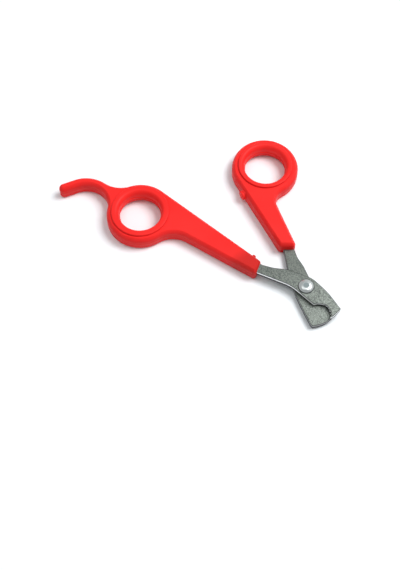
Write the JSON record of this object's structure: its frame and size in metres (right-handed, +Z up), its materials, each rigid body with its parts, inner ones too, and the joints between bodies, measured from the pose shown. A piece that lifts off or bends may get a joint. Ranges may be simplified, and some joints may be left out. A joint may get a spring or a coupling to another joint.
{
  "type": "scissor nail clipper",
  "caption": "Scissor-type pet nail clippers with moulded red handles, ring grips, a finger rest, and notched steel jaws on a domed rivet.",
  "frame": {"origin": "on the pivot rivet's axis, at the level of the surface that the clippers lie on", "axes": "+X the way the jaws point, midway between the two halves as they lie open; +Z up out of the domed rivet head; +Y towards the short handle with the thumb hole"},
  "size_m": [0.1215, 0.0917, 0.0079],
  "materials": {
    "handle_plastic": "moulded, satin",
    "blade_steel": "fine bead-blasted",
    "rivet_steel": "smooth, half polished"
  },
  "bodies": {
    "long_half": {"finger_handle": "handle_plastic", "top_blade": "blade_steel", "pivot_rivet": "rivet_steel"},
    "short_half": {"thumb_handle": "handle_plastic", "bottom_blade": "blade_steel"}
  },
  "joints": [
    {"name": "pivot_hinge", "type": "hinge", "parent": "long_half", "child": "short_half", "pos_m": [0, 0, 0], "axis": [0, 0, 1], "range_deg": [-60, 23]}
  ]
}
